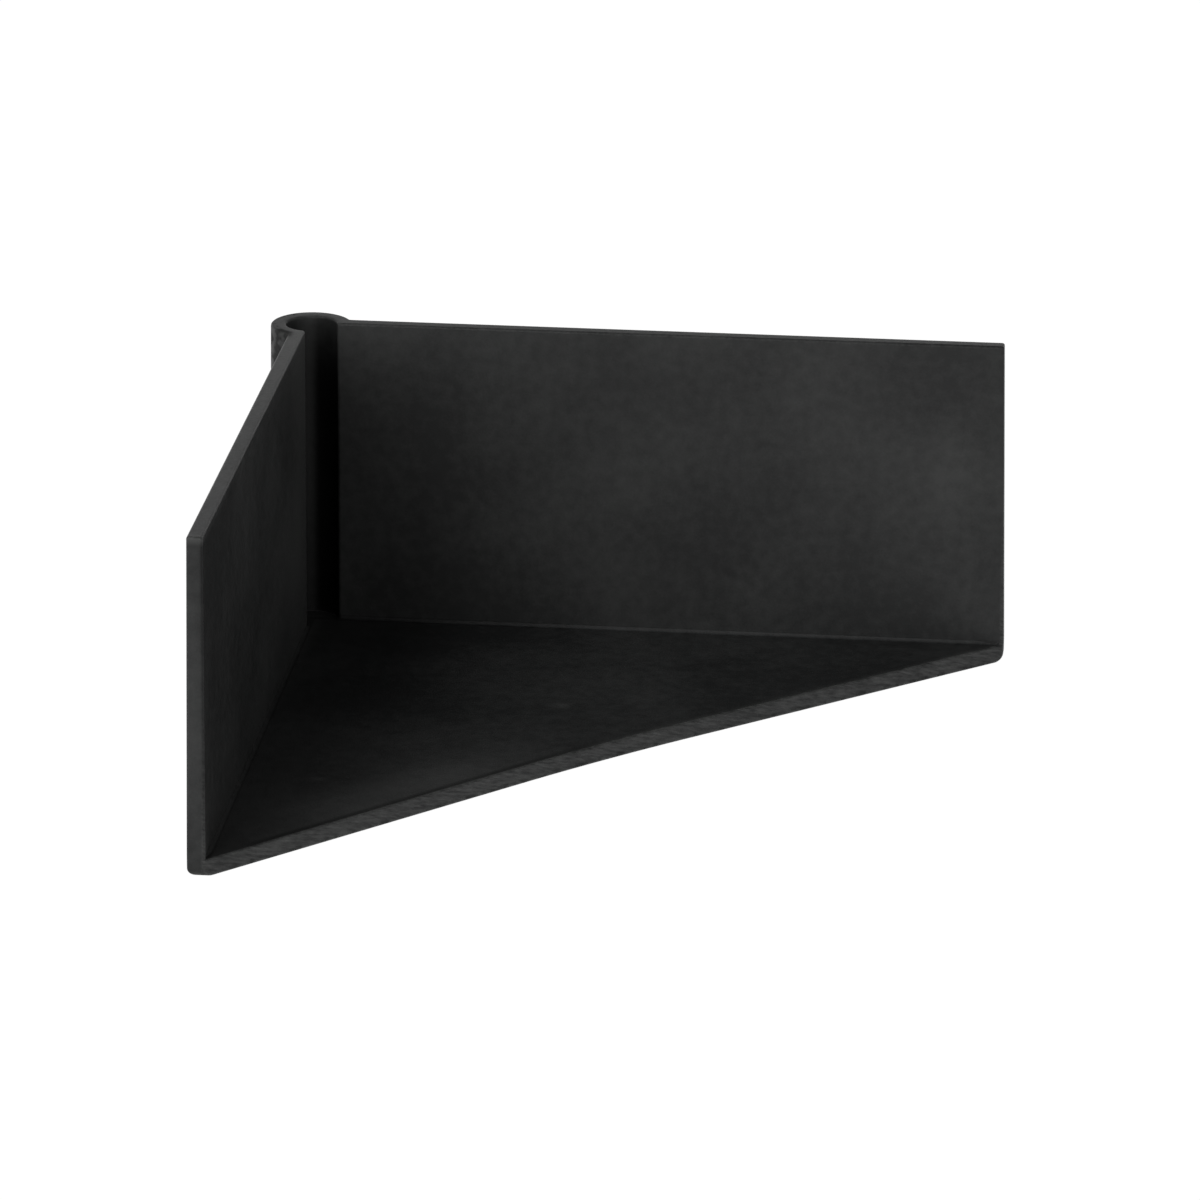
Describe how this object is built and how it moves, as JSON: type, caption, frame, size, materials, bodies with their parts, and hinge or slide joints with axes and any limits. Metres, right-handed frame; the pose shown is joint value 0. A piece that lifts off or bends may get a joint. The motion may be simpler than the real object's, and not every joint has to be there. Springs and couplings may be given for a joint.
{
  "type": "fence post corner cap",
  "caption": "Black moulded corner cap for a square post: a triangular plate, upright walls at right angles and a slotted round channel that clears the post's edge.",
  "frame": {"origin": "the corner where the inner faces of the two walls meet, on the outer face of the plate", "axes": "+X along the right wall, -Y along the left wall, +Z from the plate to the rims of the walls"},
  "size_m": [0.1057, 0.1057, 0.047],
  "materials": {
    "cap_plastic": "black polypropylene, fine moulded satin"
  },
  "bodies": {
    "root": {"base_plate": "cap_plastic", "right_wall": "cap_plastic", "left_wall": "cap_plastic", "corner_channel": "cap_plastic"}
  },
  "joints": []
}
